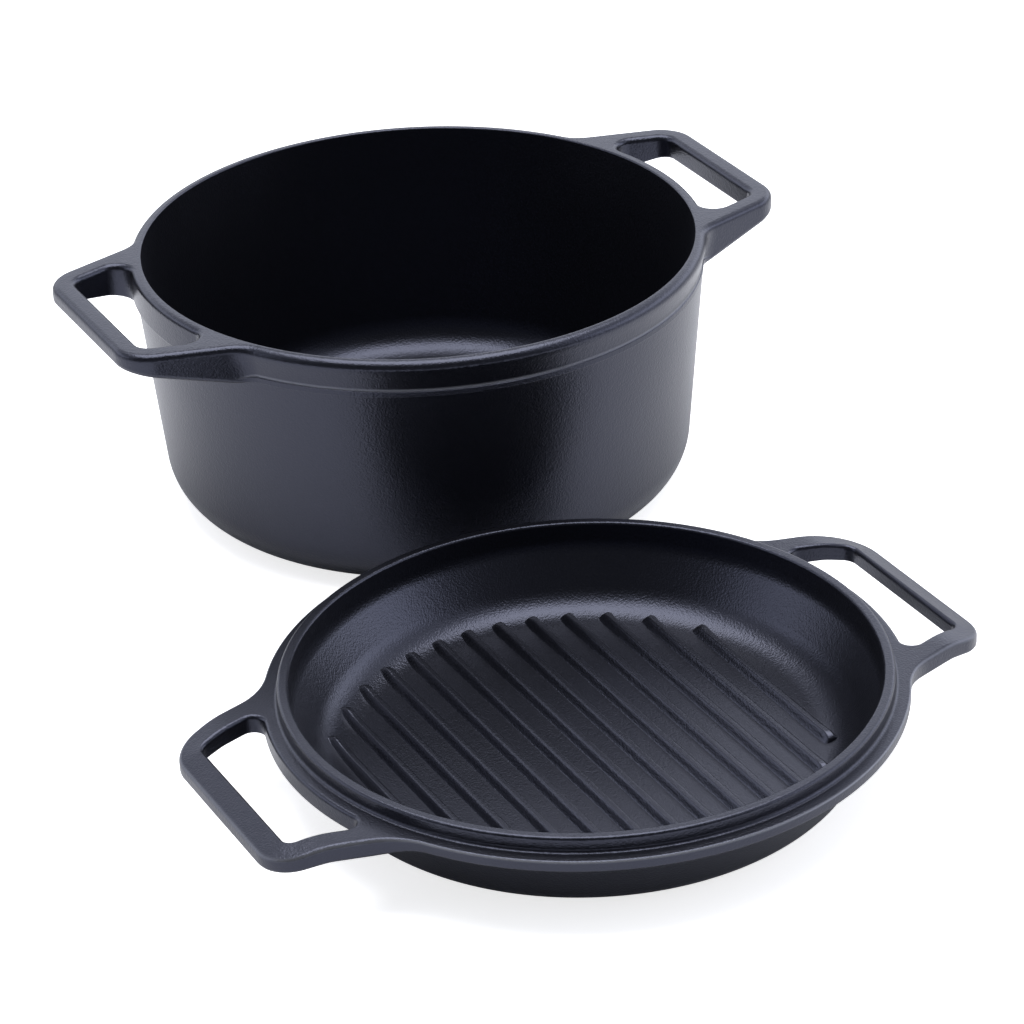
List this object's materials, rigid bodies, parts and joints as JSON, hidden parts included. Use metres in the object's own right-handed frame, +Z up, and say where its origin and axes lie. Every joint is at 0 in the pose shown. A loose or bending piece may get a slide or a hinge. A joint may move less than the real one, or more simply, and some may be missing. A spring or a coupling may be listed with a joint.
{
  "type": "cooking pot with grill-pan lid",
  "caption": "Cast-iron cooking pot with loop handles and a ribbed grill-pan lid whose ring fits the pot's mouth, the lid lying ribs up beside the pot.",
  "frame": {"origin": "centre of the pot's flat base, on the surface that the pot stands on", "axes": "+Z up out of the pot's mouth, +X along the line of both pairs of loop handles, and the lid lying on the same surface towards -Y"},
  "size_m": [0.3806, 0.516, 0.1177],
  "materials": {
    "pot_iron": "satin oil-seasoned casting with a fine sand grain",
    "lid_iron": "satin oil-seasoned casting with a fine sand grain"
  },
  "bodies": {
    "pot": {"pot": "pot_iron"},
    "lid": {"grill_lid": "lid_iron"}
  },
  "joints": [
    {"name": "lid_lift", "type": "slide", "parent": "pot", "child": "lid", "axis": [0, 0, 1], "range_m": [0, 0.2]}
  ]
}
